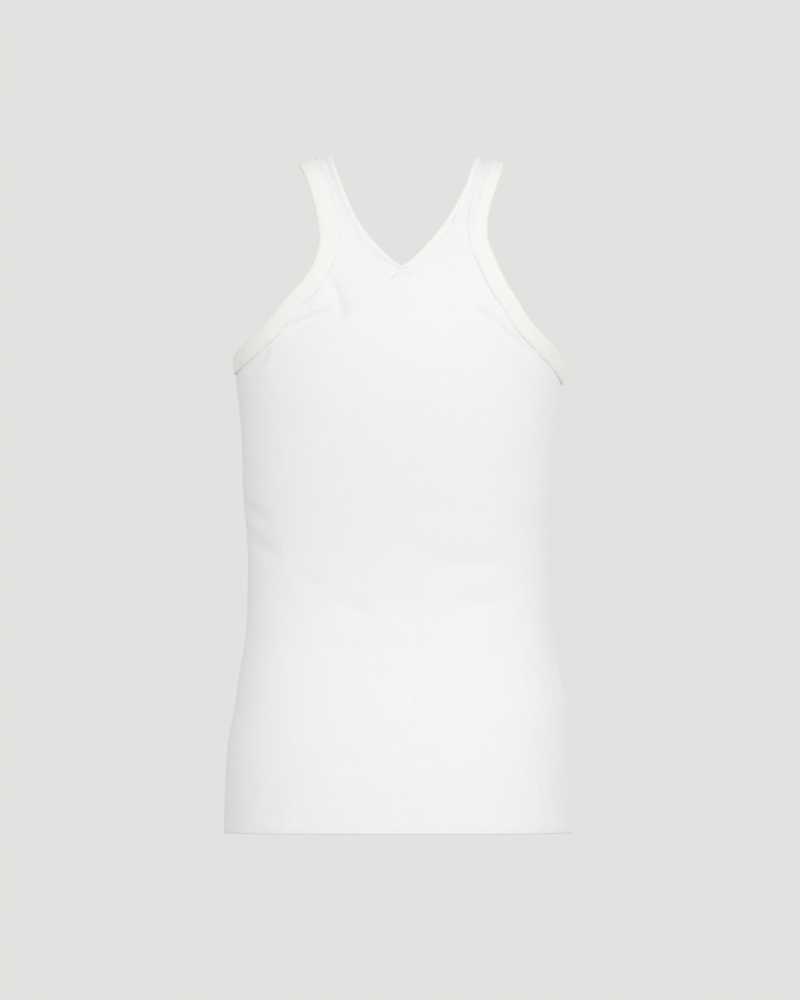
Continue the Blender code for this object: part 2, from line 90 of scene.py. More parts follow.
# The neck binding curls over on the straps, and the point of the V draws it narrow: height, widths
# on the left and right
BACK_NECK_WIDTHS = (
    (-92, 3, 3),
    (-88, 4, 5.2),
    (-81, 5.4, 6.8),
    (-70, 8, 8.2),
    (-58, 6.4, 7),
    (-46, 4.6, 5.8),
    (-28, 5.7, 6.4),
    (3, 6.4, 6.8),
)
FRONT_NECK_WIDTHS = ((-40, 7.5, 7.5), (3, 6.4, 6.4))
BINDING_HEIGHT = 1.7  # over the panel
BINDING_CROWN = 0.012  # share of the width that the middle bulges
BINDING_RIB = 3.2  # pitch of the ribs that run across a binding
BINDING_RIB_SECTION = (1.0, 0.25, 0.0, 0.25)
BINDING_RIB_DEPTH = 0.15
BINDING_CLEARANCE = 0.1  # between the panel and the binding on each side
BINDING_STEPS = 4
SLOT_END = 1.5  # from a binding's fold to the end of the space inside it
FOLD_NOSE = 0.55  # of the width, where a binding is too narrow for a round fold
FULL_EDGE_WIDTH = 10.0  # a narrower binding has a smaller sewn edge
# The sewn edge of a binding, with a ridge, the groove of its stitches and the swell behind them:
# distance from the edge, height over the panel, share of the ribs' depth
SEWN_EDGE = (
    (0.0, 0.12, 0.0),
    (0.25, 0.6, 0.3),
    (0.8, 1.25, 0.8),
    (1.5, 1.55, 1.0),
    (2.4, 1.28, 0.4),
    (3.6, 1.7, 1.0),
)
STITCH_LINE = 2.4
# On the straps and round the neck the sewn edge lies flatter and spreads: height, flatness
EDGE_FLATNESS = {
    LEFT: ((-90, 0.0), (-64, 0.6), (-18, 0.6), (-8, 0.2)),
    RIGHT: ((-64, 0.0), (-48, 1.0)),
    NECK: ((-92, 0.5),),
}
EDGE_DROP = 0.5
EDGE_SPREAD = 0.6
FOLD_ANGLES = (90, 54, 18, -18, -54, -90)
# Round the corner of the V the binding's sections fan out, from its mitre to each leg
MITRE_FAN = (0.0, 0.25, 0.5, 0.75)
# Ripples along a binding: armhole, panel, upper and lower height, distance from the fold, half
# width, depth. A ridge has a depth below zero.
BINDING_RIPPLES = (
    (RIGHT, BACK, -96, -164, 8.8, 2.3, 1.3),
    (RIGHT, BACK, -70, -176, 14.6, 1.7, -1),
    (LEFT, BACK, -60, -120, 15.4, 2.4, -0.4),
    (LEFT, BACK, -128, -176, 9, 4, 0.4),
    (LEFT, FRONT, -100, -150, 9, 3.2, 0.6),
    (RIGHT, FRONT, -60, -140, 14.8, 2.4, -0.35),
)
# How far a binding's sewn edge stands off near the underarms: height where it starts, lift
EDGE_LIFTS = {LEFT: (-158.0, 0.3), RIGHT: (-160.0, 0.1)}
EDGE_LIFT_LENGTH = 20.0
EDGE_LIFT_POWER = 4
# Slow unevenness along a binding: wavelength and height
BINDING_WAVES = ((61.0, 0.12), (37.0, 0.07), (23.0, 0.04))

# Form
CREST_HEIGHT = 3.25  # panel surface over the middle of a strap
CREST_ROUND = 18.0
SHOULDER_SLOPE = math.tan(math.radians(14))
SHOULDER_SLOPE_END = 90.0
STRAP_MIDDLE = 78.0
STRAP_LEAN = 23.0
STRAP_LEAN_DROP = 76.0
STRAP_LEAN_POWER = 1.35
SQUARENESS = 2.3
HEM_HEIGHT = -602.0
UNDERARM = {LEFT: -172.0, RIGHT: -181.0}
STRAIGHT_GRAIN_TOP = -166.0

# Level sections: height, half widths to the left and right, depths to the back and front
SECTIONS = (
    (CREST_HEIGHT, 150, 149, 0, 0),
    (-7, 150, 149, 21, 20),
    (-37, 150, 149, 45, 37),
    (-87, 150, 149, 74, 58),
    (-147, 149.5, 148, 94, 84),
    (-200, 147, 145.5, 98, 104),
    (-240, 143, 143, 95, 112),
    (-290, 141.5, 139, 88, 110),
    (-356, 137, 135, 78, 98),
    (-392, 137.5, 136, 76, 94),
    (-428, 139.5, 139, 80, 94),
    (-455, 144, 143, 86, 97),
    (-486, 148.5, 150, 94, 101),
    (-523, 155, 152.5, 102, 103),
    (-563, 157.5, 153.5, 107, 102),
    (HEM_HEIGHT, 158.5, 154.5, 109, 100),
)

# Finished edges as seen square on: height, distance left and right of the centre line
BACK_ARMHOLE = (
    (CREST_HEIGHT, 91.8, 93.6),
    (-10, 86.6, 91.2),
    (-35, 78.3, 83),
    (-56, 74.2, 79),
    (-75, 73.9, 81.6),
    (-88, 77.8, 87.3),
    (-102, 86, 93.5),
    (-122, 104, 105.5),
    (-139, 116.9, 116),
    (-153, 130.5, 128.4),
    (-164, 142, 137.5),
)
FRONT_ARMHOLE = (
    (CREST_HEIGHT, 91.8, 93.6),
    (-10, 86, 90.4),
    (-35, 77, 81.6),
    (-60, 72.5, 76.5),
    (-85, 71.5, 75),
    (-110, 76, 79),
    (-135, 90, 91),
    (-155, 110, 108),
    (-168, 133, 127),
)
BACK_NECK = (
    (CREST_HEIGHT, 61.2, 66.4),
    (-4.3, 57.2, 63),
    (-21, 51, 57.3),
    (-35, 45.3, 50.2),
    (-51, 37.3, 40.6),
    (-64, 28.4, 30.5),
    (-76, 17.4, 20),
    (-84, 9.6, 12.4),
)
FRONT_NECK = (
    (CREST_HEIGHT, 61.2, 66.4),
    (-4.3, 58.8, 63.8),
    (-21, 54, 59),
    (-35, 50.4, 54.6),
    (-60, 45.6, 48),
    (-90, 42.5, 44),
    (-120, 38, 39),
    (-145, 30, 30.5),
    (-162, 18, 18),
)
NECK_BOTTOM = {BACK: (1.8, -92.0), FRONT: (0.0, -169.0)}

# Large folds, soft troughs: start and end as shares of the half girth with the height at each, half
# width, depth. A share past 1 runs on round the side seam.
BACK_FOLDS = (
    (-0.46, -143, -0.18, -124, 9, 1.2),
    (0.06, -357, 0.66, -363, 11, 1.2),
    (-0.48, -396, -0.12, -402, 10, 1.1),
    (0.22, -400, 0.66, -392, 10, 1.2),
    (-0.98, -304, -0.66, -322, 7, 2.6),
    (-0.94, -334, -0.62, -353, 8, 2.6),
    (-0.98, -272, -0.72, -282, 6, 0.8),
    (0.70, -330, 0.98, -318, 8, 1.0),
)
FRONT_FOLDS = (
    (-0.98, -316, -0.66, -304, 7, 1.6),
    (-0.96, -344, -0.60, -360, 8, 1.5),
    (0.18, -372, 0.66, -360, 11, 1.3),
    (0.36, -214, 0.70, -236, 9, 1.6),
)
FOLDS = {BACK: BACK_FOLDS, FRONT: FRONT_FOLDS}
FOLD_SHARPNESS = 1.2

# Small creases: start and end as seen square on with the height at each, how far the middle bows to
# the left of the way there, half widths on the left and right of that way, depth. A ridge has a
# depth below zero.
BACK_CREASES = (
    (-116, -157, -44, -127, 3.5, 3, 8, 3.2),
    (-68, -96, -52, -144, 2.5, 6.5, 5, 3.2),
    (-83, -134, -60, -112, 0, 7, 6, -1.2),
    (-140, -188, -117, -166, -2.2, 2.4, 3.4, 2.4),
    (-131, -191, -113, -175, -2.2, 3.4, 5, -1),
    (54, -116, 130, -184, 0, 4.5, 8, 3.6),
    (62, -122, 76, -134, 0, 5, 5, -1.2),
    (65, -88, 72, -113, 0, 3, 4, 2),
    (-13, -110, 20, -106, 13, 1.8, 2.8, 2.3),
    (20, -357, 108, -364, 1, 8, 12, 1),
    (-54, -397, -22, -404, 0, 5.5, 9, 1),
    (46, -398, 94, -396, 2, 6.5, 11, 0.8),
    (-76, -434, 6, -433, -3, 6, 10, 1.1),
    (-98, -373, -60, -380, 0, 5, 9, 1),
    (-56, -484, -34, -494, 0, 4.5, 6, 1),
    (-38, -492, -28, -508, 0, 3, 4, 0.8),
    (18, -531, 40, -539, 0, 4.5, 6, 0.9),
    (-62, -530, -34, -544, 0, 5, 8, 0.9),
    (-10, -306, 60, -312, 3, 8, 12, 0.8),
    (66, -438, 120, -428, 0, 8, 12, 0.9),
    (-70, 3, -56, -26, 0, 4, 5, 2.6),
)
FRONT_CREASES = (
    (-112, -212, -56, -228, 3, 5, 8, 2),
    (-86, -388, -20, -396, -2, 5, 9, 1.7),
    (60, -424, 138, -414, 0, 6, 10, 1.5),
    (-58, -150, -82, -176, 3, 5, 5, 1.8),
    (58, -150, 82, -178, -3, 5, 5, 1.8),
    (-30, -520, 34, -528, 2, 5, 8, 1),
)
CREASES = {BACK: BACK_CREASES, FRONT: FRONT_CREASES}
# The cloth's pucker under the point of the V: sideways, height, half width, half heights above and
# below, rise
V_PUCKER = (2.0, -107.5, 12.0, 8.0, 14.0, 1.9)
# The shoulder seams' turned edges between the bindings: sideways, half width, rise
SHOULDER_SEAMS = ((-72.2, 3.8, 2.1), (74.5, 2.0, 1.5))
SHOULDER_SEAM_REACH = 9.0

# Rows of points from the hem's sewing up: upper end of each stretch, by reach, and its step
ROW_STRETCHES = ((214.0, 5.0), (130.0, 1.7), (108.0, 1.0), (2.0, 4.0))
HEM_SEWING_ROWS = (6.0, 2.6, 1.2, 0.0, -1.2, -2.6)  # from the hem's stitches
ROW_SPACING = 1.6  # least, below a panel's upper edge
INNER_COLUMN_STEP = 2
INNER_ROW_STEP = 2
INNER_EDGE_TOLERANCE = 0.35
HEM_ARC = (150, 120, 90, 60, 30)  # degrees round the hem's fold
HEM_STEP = 0.6  # where the turned hem ends inside
PATH_SAMPLES = 1500
SECTION_SAMPLES = 181
SECTIONS_PER_RIB = 4
TANGENT_STEP = 1.0
CREST_STEP = 1.0  # how far over the shoulder seam a panel's edge is read
PROBE = 0.6  # to each side of a point, where the cloth's slope is read
WALK_STEPS = 2
PLACE_STEPS = 8  # rounds of the search for a point as seen square on
SECTIONS_KEPT = 4096  # in memory
MERGE = 0.005  # points nearer than this are joined
SHARP_ANGLE = 60  # degrees
BODY_MIDDLE = np.array((0.0, 0.0, -300.0))

# Sewing
STITCH = 2.7
STITCH_SPACING = 3.3
THREAD = 0.2  # radius
THREAD_SIDES = 6
STITCH_RINGS = 5
THREAD_RISE = 0.28
THREAD_SINK = 0.12  # where a stitch dips into the cloth
THREAD_END = 0.55  # share of the radius there
HEM_LINE_END = 0.985  # share of the half width
HEM_LINE_SAMPLES = 500
HEM_LINE_DEPTH = 0.1

# Finish
KNIT_LOOPS = {"Wales per rib": 4, "Courses per rib": 5.0, "Lean": 0.9}
LOOP_SWELL = 0.3  # share of a loop's height that its yarn adds
LOOP_HEIGHT = 0.00011
LOOP_STRENGTH = 0.7
FUZZ_SIZE = 0.0009
FUZZ_HEIGHT = 0.0001
FUZZ_STRENGTH = 0.5
FUZZ_NOISE = {"Detail": 4.0, "Roughness": 0.65}
PATCH_SIZE = 0.055
PATCH_NOISE = {"Detail": 3.0, "Roughness": 0.5}
# How far the darker colour goes in: random patches of tone, a real unevenness, and the grooves
# between the ribs, where it is painted shade
PATCH_SHARE = 0.35
GROOVE_SHADE_SHARE = 0.2
MATT = {"Roughness": 0.95, "Specular IOR Level": 0.2, "Sheen Weight": 0.12, "Sheen Roughness": 0.6}
THREAD_ROUGHNESS = 0.7
# A Mix node's sockets for colours
MIX_SHARE, MIX_FIRST, MIX_SECOND, MIX_RESULT = 0, 6, 7, 2
# Each knit's colour and its darker colour, which gives its patches of tone and is painted shade in
# the grooves between its ribs
KNIT_WHITE = (0.885, 0.885, 0.897)
KNIT_PATCH_TONE_AND_GROOVE_SHADE = (0.855, 0.855, 0.865)
BINDING_WHITE = (0.897, 0.898, 0.889)
BINDING_PATCH_TONE_AND_GROOVE_SHADE = (0.865, 0.866, 0.858)

# Stage, in metres
FLOOR_HEIGHT = -1.35
FLOOR_RADIUS = 11.0
FLOOR_SIDES = 96
FLOOR_COLOUR = (0.66, 0.66, 0.65)
FLOOR_ROUGHNESS = 0.9
BACKDROP = (0.7605, 0.7605, 0.7454)
WORLD_LIGHT = 0.855  # share of the backdrop's brightness that lights the scene
VIEW_CENTRE = (0, 0, -0.3024)
VIEW_HEIGHT = 0.9
CAMERA_DISTANCE = 19.0
SENSOR = 24.0  # millimetres
LIGHT_DISTANCE = 6.0
LIGHT_SIZE = 2.6
# Name, azimuth to the right of the camera and elevation in degrees, power
LIGHTS = (
    ("key_light", 0, 10, 58.0),
    ("right_light", 40, 15, 36.0),
    ("left_light", -40, 15, 46.0),
    ("side_light", 80, 10, 26.0),
    ("high_light", 30, 45, 25.0),
    ("far_light", 155, 20, 60.0),
    ("far_fill_light", 200, 20, 26.0),
)


def smooth_curve(parameters, values):
    """Cubic through the values, as a function of the parameter."""
    parameters = np.asarray(parameters, float)
    values = np.asarray(values, float)
    slopes = np.gradient(values, parameters, axis=0)

    def evaluate(parameter):
        k = int(np.clip(np.searchsorted(parameters, parameter) - 1, 0, len(parameters) - 2))
        span = parameters[k + 1] - parameters[k]
        t = (parameter - parameters[k]) / span
        start = (1 + 2 * t) * (1 - t) ** 2 * values[k] + t * (1 - t) ** 2 * span * slopes[k]
        end = t * t * (3 - 2 * t) * values[k + 1] + t * t * (t - 1) * span * slopes[k + 1]
        return start + end

    return evaluate


def reach_at(height):
    """Distance from the shoulder seam of a height: round over the crest, then nearly straight."""
    drop = max(0.0, CREST_HEIGHT - height)
    return math.sqrt(drop * (drop + 2 * CREST_ROUND))


def height_at(reach):
    return CREST_HEIGHT + CREST_ROUND - math.hypot(reach, CREST_ROUND)


HEM_REACH = reach_at(HEM_HEIGHT)
HEM_SEWING_REACH = reach_at(HEM_HEIGHT + HEM_SEWING)
SECTION_REACHES = [reach_at(row[0]) for row in SECTIONS]
SECTION_CURVES = [smooth_curve(SECTION_REACHES, column) for column in list(zip(*SECTIONS))[1:]]
HALF_WIDTH = dict(zip(SIDES, SECTION_CURVES[:2]))
DEPTH = dict(zip(PANELS, SECTION_CURVES[2:]))
QUARTER_TURN = np.linspace(0, math.pi / 2, SECTION_SAMPLES)
QUARTER_SINE = np.sin(QUARTER_TURN) ** (2 / SQUARENESS)
QUARTER_COSINE = np.cos(QUARTER_TURN) ** (2 / SQUARENESS)
QUARTER_COSINE[-1] = 0.0


@lru_cache(maxsize=SECTIONS_KEPT)
def quarter_section(level, face, side):
    """A quarter of a level section from the centre line to the side: sideways, outward, length."""
    sideways = HALF_WIDTH[side](level) * QUARTER_SINE
    outward = max(0.0, DEPTH[face](level)) * QUARTER_COSINE
    length = np.concatenate(([0], np.cumsum(np.hypot(np.diff(sideways), np.diff(outward)))))
    return sideways, outward, length


def grain_length(reach, face, side):
    """Cloth from the centre line to the last rib, which stays the same above the underarm."""
    return quarter_section(max(abs(reach), reach_at(STRAIGHT_GRAIN_TOP)), face, side)[2][-1]


def fade(value):
    """Falls smoothly from 1 to 0 as the value goes from 0 to 1."""
    value = min(1.0, max(0.0, value))
    return 1 - value * value * (3 - 2 * value)


def strap_lean(level):
    """How far out the straps lean at a reach."""
    share = 1 - (CREST_HEIGHT - height_at(level)) / STRAP_LEAN_DROP
    return STRAP_LEAN * max(0.0, share) ** STRAP_LEAN_POWER


def smooth_places(across, reach):
    """Places of points of the cloth, all at one reach, before the folds."""
    across = np.atleast_1d(np.asarray(across, float))
    places = np.empty((len(across), 3))
    level = abs(reach)
    here = BACK if reach < 0 else FRONT
    for side in SIDES:
        mine = (across >= 0) == (side == RIGHT)
        if not mine.any():
            continue
        distance = np.abs(across[mine])
        sideways, outward, length = quarter_section(level, here, side)
        far_sideways, far_outward, far_length = quarter_section(level, -here, side)
        past = distance > length[-1]
        back_again = far_length[-1] - (distance - length[-1])
        x = np.interp(distance, length, sideways)
        y = here * np.interp(distance, length, outward)
        x[past] = np.interp(back_again[past], far_length, far_sideways)
        y[past] = -here * np.interp(back_again[past], far_length, far_outward)
        places[mine, 0] = side * (x + strap_lean(level))
        places[mine, 1] = y
    slope = SHOULDER_SLOPE * fade(level / SHOULDER_SLOPE_END)
    places[:, 2] = height_at(level) - slope * (np.abs(places[:, 0]) - STRAP_MIDDLE)
    return places


def slopes_at(across, reach):
    """Change of place for a millimetre across and for a millimetre of reach."""
    over = smooth_places(across + PROBE, reach) - smooth_places(across - PROBE, reach)
    down = smooth_places(across, reach + PROBE) - smooth_places(across, reach - PROBE)
    return over / (2 * PROBE), down / (2 * PROBE)


def unit(vectors):
    return vectors / np.linalg.norm(vectors, axis=-1, keepdims=True)


def lengths_along(points):
    """Length of a chain of points up to each of them."""
    steps = np.linalg.norm(np.diff(points, axis=0), axis=1)
    return np.concatenate(([0], np.cumsum(steps)))


def points_at(spots, along, points):
    """Points at lengths along a chain of points."""
    return np.stack([np.interp(spots, along, axis) for axis in points.T], axis=1)


def outward_at(across, reach):
    """Unit vectors square to the cloth, pointing out of the garment."""
    normals = unit(np.cross(*slopes_at(across, reach)))
    inward = np.sum(normals * (smooth_places(across, reach) - BODY_MIDDLE), axis=1) < 0
    normals[inward] *= -1
    return normals


def trough(depth, along, off):
    """A fold's depth at shares of its length and, off its line, of its half width."""
    return depth * np.sin(math.pi * along) * np.exp(-FOLD_SHARPNESS * off * off)


def fold_depth(face, shares, heights):
    total = np.zeros(len(heights))
    for share_0, height_0, share_1, height_1, half_width, depth in FOLDS[face]:
        along = np.clip((shares - share_0) / (share_1 - share_0), 0, 1)
        off = (heights - height_0 - (height_1 - height_0) * along) / half_width
        total += trough(depth, along, off)
    return total


def crease_depth(face, points):
    """Depth of the small creases at points given as seen square on."""
    total = np.zeros(len(points))
    for x_0, height_0, x_1, height_1, bow, left_width, right_width, depth in CREASES[face]:
        start = np.array((x_0, height_0), float)
        line = np.array((x_1, height_1)) - start
        length = np.linalg.norm(line)
        along = np.clip((points - start) @ line / length**2, 0, 1)
        off = (points - start) @ np.array((-line[1], line[0])) / length
        off -= 4 * bow * along * (1 - along)
        off /= np.where(off > 0, left_width, right_width)
        total += trough(depth, along, off)
    return total


def pucker_rise(face, points):
    """The cloth that bulges under the point of the V."""
    if face != BACK:
        return 0.0
    middle, height, half_width, above, below, rise = V_PUCKER
    up = points[:, 1] - height
    off = ((points[:, 0] - middle) / half_width) ** 2 + (up / np.where(up > 0, above, below)) ** 2
    return rise * np.exp(-FOLD_SHARPNESS * off)


def seam_rise(level, places):
    """The panels' cloth that the shoulder seams raise on top of the straps."""
    total = np.zeros(len(places))
    for middle, half_width, rise in SHOULDER_SEAMS:
        off = np.clip(np.abs(places[:, 0] - middle) / half_width, 0, 1)
        total += rise * np.cos(math.pi / 2 * off) ** 2
    return total * fade(level / SHOULDER_SEAM_REACH)


def crumple(face, shares, places):
    """How far the folds and creases draw the cloth in."""
    seen = places[:, (0, 2)]
    depth = fold_depth(face, shares, places[:, 2]) + crease_depth(face, seen)
    return depth - pucker_rise(face, seen)


def half_girths(face, shares, level):
    """Cloth from the centre line to the side seam, on the side of each share of a panel's width."""
    lengths = [grain_length(level, face, side) for side in SIDES]
    return np.where(shares < 0, *lengths)


def cloth_row(face, shares, level, depths):
    """Places down in a panel's cloth, all at one reach: shares of its width, depths in its wall."""
    girths = half_girths(face, shares, level)
    across = shares * girths
    across -= np.sign(across) * np.where(np.abs(shares) == 1, SEAM_GAP / 2, 0)
    places = smooth_places(across, face * level)
    normals = outward_at(across, face * level)
    drawn_in = crumple(face, shares, places)
    to_seam = (1 - np.abs(shares)) * girths
    drawn_in += SEAM_DIP * np.exp(-((to_seam / SEAM_DIP_WIDTH) ** 2))
    to_sewing = level - HEM_SEWING_REACH
    drawn_in += HEM_GROOVE * math.exp(-((to_sewing / HEM_GROOVE_WIDTH) ** 2))
    drawn_in -= seam_rise(level, places)
    return places - normals * (drawn_in + depths)[:, None]


def cloth_spot(across, reach):
    """Place on the crumpled cloth, and the unit vector out of it."""
    face = BACK if reach < 0 else FRONT
    side = LEFT if across < 0 else RIGHT
    place = smooth_places(across, reach)
    normal = outward_at(across, reach)[0]
    drawn_in = crumple(face, across / grain_length(reach, face, side), place)
    return place[0] - normal * drawn_in, normal


def cloth_coordinates(x, height, face):
    """Cloth coordinates of the point seen square on at x and height."""
    side = RIGHT if x >= 0 else LEFT
    level = reach_at(height)
    across = x
    for _ in range(PLACE_STEPS):
        sideways, _, length = quarter_section(level, face, side)
        across = side * np.interp(abs(x) - strap_lean(level), sideways, length)
        too_high = smooth_places(across, face * level)[0, 2] - height
        level = reach_at(height_at(level) - too_high)
    return across, face * level


def edge_points(rows, side, face):
    """Cloth coordinates of a finished edge, from the shoulder seam down."""
    column = 1 if side == LEFT else 2
    points = [(side * (rows[0][column] - STRAP_LEAN), 0.0)]
    for row in rows[1:]:
        points.append(cloth_coordinates(side * row[column], row[0], face))
    return points


def mirrored(point, about):
    return (2 * about - point[0], point[1])


def edge_path(edges, side, ends, starts_round):
    """A finished edge in cloth coordinates, from one end up the back and down the front.

    Past an end where it runs on round, a mirrored point sets its direction."""
    back, front = (edge_points(rows, side, face) for rows, face in zip(edges, PANELS))
    points = [ends[0], *reversed(back), *front[1:], ends[1]]
    points.append(mirrored(points[-2], ends[1][0]))
    if starts_round:
        points.insert(0, mirrored(points[1], ends[0][0]))
    parameters = lengths_along(points)
    curve = smooth_curve(parameters, points)
    first = parameters[1] if starts_round else 0.0
    return np.array([curve(t) for t in np.linspace(first, parameters[-2], PATH_SAMPLES)])


def armhole_path(side):
    """The armhole's finished edge, from the side seam round to the side seam."""
    level = reach_at(UNDERARM[side])
    ends = [(side * grain_length(level, face, side), face * level) for face in PANELS]
    return edge_path((BACK_ARMHOLE, FRONT_ARMHOLE), side, ends, starts_round=True)


def half_neck_path(side):
    """One half of the neckline, from the point of the V to the bottom of the scoop."""
    ends = [cloth_coordinates(*NECK_BOTTOM[face], face) for face in PANELS]
    return edge_path((BACK_NECK, FRONT_NECK), side, ends, starts_round=False)


def walk(cloth, direction, distance):
    """Cloth coordinates after a straight walk over the surface."""
    across, reach = cloth
    for _ in range(WALK_STEPS):
        over, down = (slope[0] for slope in slopes_at(across, reach))
        slopes = np.stack((over, down), axis=1)
        normal = unit(np.cross(over, down))
        flat = unit(direction - normal * (normal @ direction))
        move = np.linalg.lstsq(slopes, flat * distance / WALK_STEPS, rcond=None)[0]
        across += move[0]
        reach += move[1]
        direction = flat
    return across, reach


class Section(NamedTuple):
    """Where a binding crosses a finished edge."""

    cloth: tuple  # cloth coordinates of the edge
    inward: np.ndarray  # direction into the cloth, longer than 1 round a mitre
    number: int
    along: float  # from the edge's start


def edge_sections(path, is_neck):
    """Even sections round a closed edge, with more at the corner of the neckline."""
    places = np.array([smooth_places(*cloth)[0] for cloth in path])
    along = lengths_along(places)
    total = along[-1]
    count = SECTIONS_PER_RIB * round(total / BINDING_RIB)
    spots = np.linspace(0, total, count + 1)

    def at(distances, values):
        return points_at(distances if is_neck else distances % total, along, values)

    tangents = unit(at(spots + TANGENT_STEP, places) - at(spots - TANGENT_STEP, places))
    sections = []
    for number, (spot, cloth, tangent) in enumerate(zip(spots, at(spots, path), tangents)):
        inward = unit(np.cross(outward_at(*cloth)[0], tangent))
        sections.append(Section(tuple(cloth), inward, number, spot))
    first = sections[0]
    if first.inward @ (BODY_MIDDLE - smooth_places(*first.cloth)[0]) < 0:
        sections = [section._replace(inward=-section.inward) for section in sections]
    return fan_out(sections) if is_neck else sections[:-1]


def fan_out(sections):
    """Adds the sections of the mitre, where the two ends of an edge meet at a corner."""
    first = sections[0]
    last = sections[-1]
    mitre = unit(first.inward + last.inward)
    starting = []
    ending = []
    for leg, fan in ((first, starting), (last, ending)):
        for share in MITRE_FAN:
            direction = unit(mitre + share * (leg.inward - mitre))
            fan.append(leg._replace(inward=direction / (direction @ leg.inward)))
    return [*starting, *sections, *ending[:0:-1]]


def trim_line(edges, face):
    """Upper edge of a panel, inside the bindings: share of the panel's width against reach.

    Every rib runs in one piece up to this line, so it never doubles back."""
    pieces = []
    for edge, side in ((LEFT, LEFT), (NECK, LEFT), (NECK, RIGHT), (RIGHT, RIGHT)):
        shares = []
        reaches = []
        for section in edges[edge]:
            across, reach = section.cloth
            if across * side < 0 or (reach * face < 0 and abs(reach) > CREST_STEP):
                continue
            length = np.linalg.norm(section.inward)
            across, reach = walk(section.cloth, section.inward, EDGE_INSET * length)
            shares.append(across / grain_length(reach, face, side))
            reaches.append(max(SEAM_GAP / 2, reach * face))
        order = np.argsort(reaches)[::-1]
        shares = np.array(shares)[order]
        reaches = np.array(reaches)[order]
        keeps_highest = (side == LEFT) == (edge == side)
        envelope = np.maximum if keeps_highest else np.minimum
        piece = list(zip(envelope.accumulate(shares), reaches))
        pieces.append(piece if piece[0] < piece[-1] else piece[::-1])
    return np.concatenate(pieces)


class Cloth:
    """A piece in the making: its points, their places in the knit, and its faces.

    A place in the knit is counted in ribs, across them and, at the same scale, along them. In a
    closed strip the count starts again after as many ribs as its loop has."""

    def __init__(self, loop=math.inf):
        self.points = []
        self.knit_places = []
        self.faces = []
        self.loop = loop

    def add(self, places, across_ribs, along_ribs):
        first = len(self.points)
        self.points.extend(places)
        self.knit_places.extend(np.broadcast(across_ribs, along_ribs))
        return range(first, len(self.points))


def strip(first, second):
    """Triangles between two chains of (key, vertex), whose keys rise."""
    faces = []
    i = 0
    j = 0
    while i < len(first) - 1 or j < len(second) - 1:
        second_ends = j == len(second) - 1
        if second_ends or (i < len(first) - 1 and first[i + 1][0] <= second[j + 1][0]):
            faces.append((first[i][1], first[i + 1][1], second[j][1]))
            i += 1
        else:
            faces.append((first[i][1], second[j + 1][1], second[j][1]))
            j += 1
    return faces


class Row(NamedTuple):
    """One row of points in a panel."""

    key: float  # rises from the hem up
    level: float  # reach
    depth: float  # in the wall
    rib_share: float  # of the ribs' depth


class Column(NamedTuple):
    """One column of points in a panel, along a rib."""

    number: int
    share: float  # of the panel's half width
    top: float  # reach of its upper end
    rib_depth: float


def lay_rows(cloth, face, columns, rows):
    """One side of a panel's wall, and its lower, upper, left and right edges."""
    numbers, shares, tops, ribs = (np.array(values) for values in zip(*columns))
    chains = [[] for _ in columns]
    for row in rows:
        there = np.flatnonzero(tops + ROW_SPACING < row.level)
        depths = row.depth + row.rib_share * ribs[there]
        places = cloth_row(face, shares[there], row.level, depths)
        vertices = cloth.add(places, shares[there] * RIBS, row.level / RIB_PITCH)
        for column, vertex in zip(there, vertices):
            chains[column].append((row.key, vertex))
    for chain, column in zip(chains, columns):
        depth = rows[-1].depth + rows[-1].rib_share * column.rib_depth
        place = cloth_row(face, column.share, column.top, depth)
        vertex = cloth.add(place, column.share * RIBS, column.top / RIB_PITCH)[0]
        chain.append((-column.top, vertex))
    for first, second in zip(chains, chains[1:]):
        last_shared = min(len(first), len(second)) - 2
        for k in range(last_shared):
            corners = (first[k], second[k], second[k + 1], first[k + 1])
            cloth.faces.append(tuple(vertex for _, vertex in corners))
        cloth.faces += strip(first[last_shared:], second[last_shared:])
    lower = [(number, chain[0][1]) for number, chain in zip(numbers, chains)]
    upper = [(number, chain[-1][1]) for number, chain in zip(numbers, chains)]
    return lower, upper, chains[0], chains[-1]


def inner_columns(edge):
    """Columns that the inside needs, so that its upper edge follows the outer one."""
    edge = np.array(edge)
    keep = set(range(0, len(edge), INNER_COLUMN_STEP)) | {len(edge) - 1}
    ordered = []
    while len(ordered) < len(keep):
        ordered = sorted(keep)
        for start, end in zip(ordered, ordered[1:]):
            if end - start < 2:
                continue
            chord = edge[end] - edge[start]
            offsets = edge[start + 1 : end] - edge[start]
            off = np.abs(offsets[:, 0] * chord[1] - offsets[:, 1] * chord[0])
            off /= np.linalg.norm(chord)
            if off.max() > INNER_EDGE_TOLERANCE:
                keep.add(start + 1 + int(off.argmax()))
    return ordered


def panel_rows():
    """Rows of the outside and of the inside of a panel, from the hem up."""
    turn = reach_at(HEM_HEIGHT + HEM_TURN)
    bend = HEM_THICKNESS / 2
    lowest = HEM_REACH - bend
    outside = []
    for degrees in HEM_ARC:
        angle = math.radians(degrees)
        depth = bend - bend * math.cos(angle)
        level = lowest + bend * math.sin(angle)
        outside.append(Row(-HEM_REACH - degrees, level, depth, 1 - depth / HEM_THICKNESS))
    levels = [lowest, *(HEM_SEWING_REACH + off for off in HEM_SEWING_ROWS)]
    body = []
    level = levels[-1]
    for stretch_end, step in ROW_STRETCHES:
        count = round((level - stretch_end) / step)
        body.extend(np.linspace(level, stretch_end, count + 1)[1:])
        level = stretch_end
    outside += [Row(-level, level, 0.0, 1.0) for level in [*levels, *body]]
    in_hem = HEM_THICKNESS - INNER_RIB * RIB_DEPTH
    in_body = CLOTH - INNER_RIB * RIB_DEPTH
    inside = [Row(-level, level, in_hem, INNER_RIB) for level in (lowest, HEM_SEWING_REACH, turn)]
    for level in [turn - HEM_STEP, *body[::INNER_ROW_STEP]]:
        inside.append(Row(-level, level, in_body, INNER_RIB))
    return outside, inside


